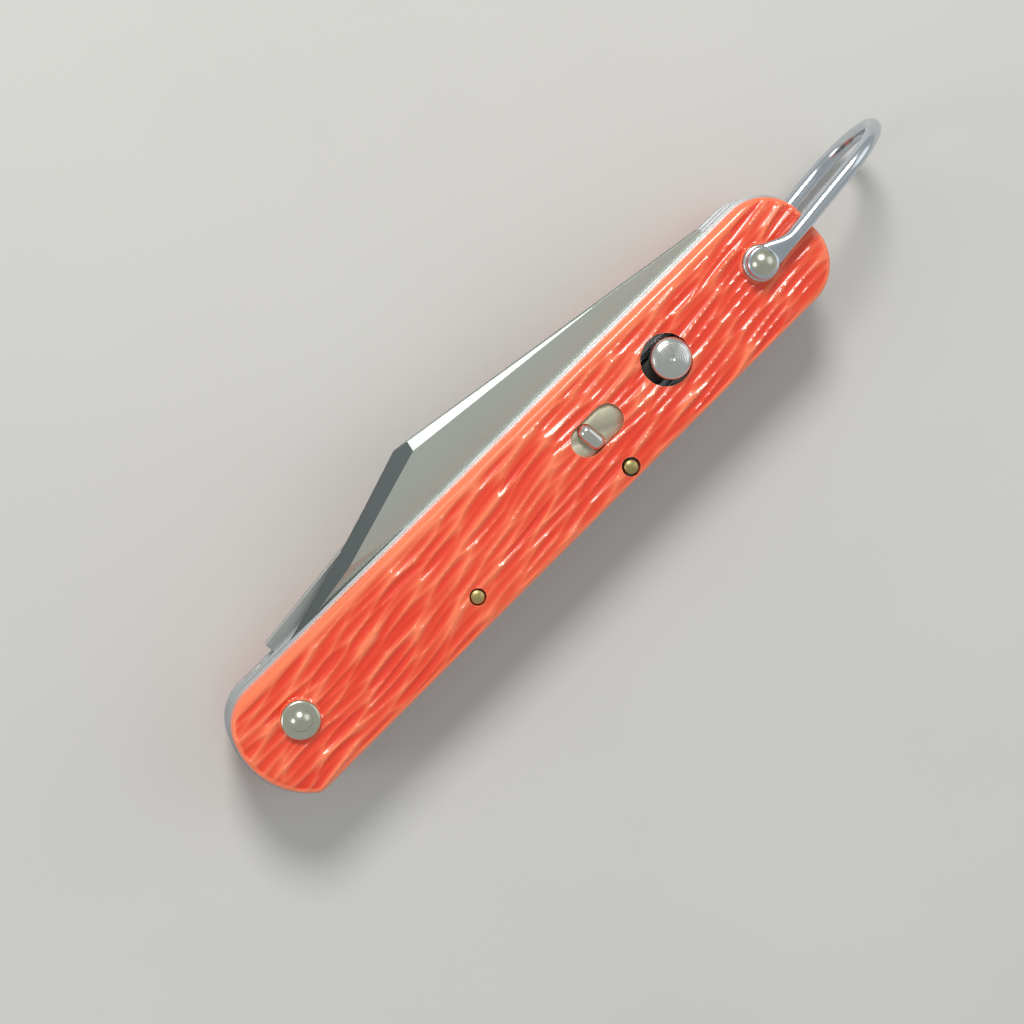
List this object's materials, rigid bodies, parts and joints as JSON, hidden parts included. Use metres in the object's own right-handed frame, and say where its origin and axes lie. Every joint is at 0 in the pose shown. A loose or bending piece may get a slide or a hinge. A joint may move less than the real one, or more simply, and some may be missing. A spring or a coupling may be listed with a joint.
{
  "type": "folding knife",
  "caption": "Folding pocket knife with jigged orange scales, a push-button clip-point blade, a hook cutter, a sliding safety and a wire bail.",
  "frame": {"origin": "centre of the closed knife's bounding box in X and Y, at its lowest point in Z", "axes": "+X along the handle to the bail end, +Y to the side the blades open from, +Z to the button side"},
  "size_m": [0.1196, 0.025, 0.0195],
  "materials": {
    "scale_plastic": "glossy jigged plastic",
    "liner_steel": "satin steel sheet",
    "blade_steel": "satin ground steel with bright edges",
    "spring_steel": "satin spring steel",
    "collar_steel": "turned steel",
    "rivet_metal": "polished nickel silver",
    "washer_steel": "polished steel",
    "pin_brass": "dull brass",
    "bail_wire": "polished steel wire",
    "button_steel": "turned and polished steel",
    "lever_steel": "plain steel",
    "safety_steel": "polished steel"
  },
  "bodies": {
    "handle": {"front_scale": "scale_plastic", "rear_scale": "scale_plastic", "front_liner": "liner_steel", "centre_liner": "liner_steel", "rear_liner": "liner_steel", "drive_spring": "spring_steel", "hook_backspring": "spring_steel", "hook_end_collar": "collar_steel", "bail_end_collar": "collar_steel", "main_pivot_rivet": "rivet_metal", "hook_pivot_rivet": "rivet_metal", "front_hook_washer": "washer_steel", "rear_hook_washer": "washer_steel", "hook_end_spring_pin": "pin_brass", "button_end_spring_pin": "pin_brass", "fulcrum_pin": "lever_steel", "fulcrum_bracket": "lever_steel", "lock_spring_studs": "lever_steel", "lock_spring": "spring_steel", "lock_pin": "lever_steel"},
    "clip_blade_body": {"clip_blade": "blade_steel"},
    "hook_blade_body": {"hook_blade": "blade_steel"},
    "bail_washers": {"front_bail_washer": "washer_steel", "rear_bail_washer": "washer_steel"},
    "bail_body": {"bail": "bail_wire"},
    "button": {"button_cap": "button_steel", "button_stem": "lever_steel", "lock_lever": "lever_steel"},
    "safety": {"safety_thumb": "safety_steel", "safety_slider": "safety_steel", "safety_plate": "safety_steel", "safety_stem": "lever_steel"}
  },
  "joints": [
    {"name": "clip_blade_open", "type": "hinge", "parent": "handle", "child": "clip_blade_body", "pos_m": [0.03354, -0.00314, 0.01124], "axis": [0, 0, -1], "range_deg": [0, 171.5], "deforming": ["lock_spring", "lock_pin"]},
    {"name": "hook_blade_open", "type": "hinge", "parent": "handle", "child": "hook_blade_body", "pos_m": [-0.05056, -0.00314, 0.00804], "axis": [0, 0, 1], "range_deg": [0, 173.5]},
    {"name": "bail_washer_turn", "type": "hinge", "parent": "handle", "child": "bail_washers", "pos_m": [0.03354, -0.00314, 0.00974], "axis": [0, 0, -1], "range_deg": [0, 94.4]},
    {"name": "bail_swing", "type": "hinge", "parent": "bail_washers", "child": "bail_body", "pos_m": [0.03354, -0.00314, 0.00974], "axis": [0, 0, 1], "range_deg": [-50, 50]},
    {"name": "push_button", "type": "hinge", "parent": "handle", "child": "button", "pos_m": [0.02074, -0.00374, 0.01409], "axis": [0, -1, 0], "range_deg": [0, 6], "stiffness_Nm_per_rad": 0.15, "springref_deg": -4.58},
    {"name": "safety_slide", "type": "slide", "parent": "handle", "child": "safety", "axis": [-1, 0, 0], "range_m": [-0.0031, 0]}
  ],
  "couplings": [
    {"joint": "bail_washer_turn", "follows": "clip_blade_open", "ratio": 0.55}
  ]
}
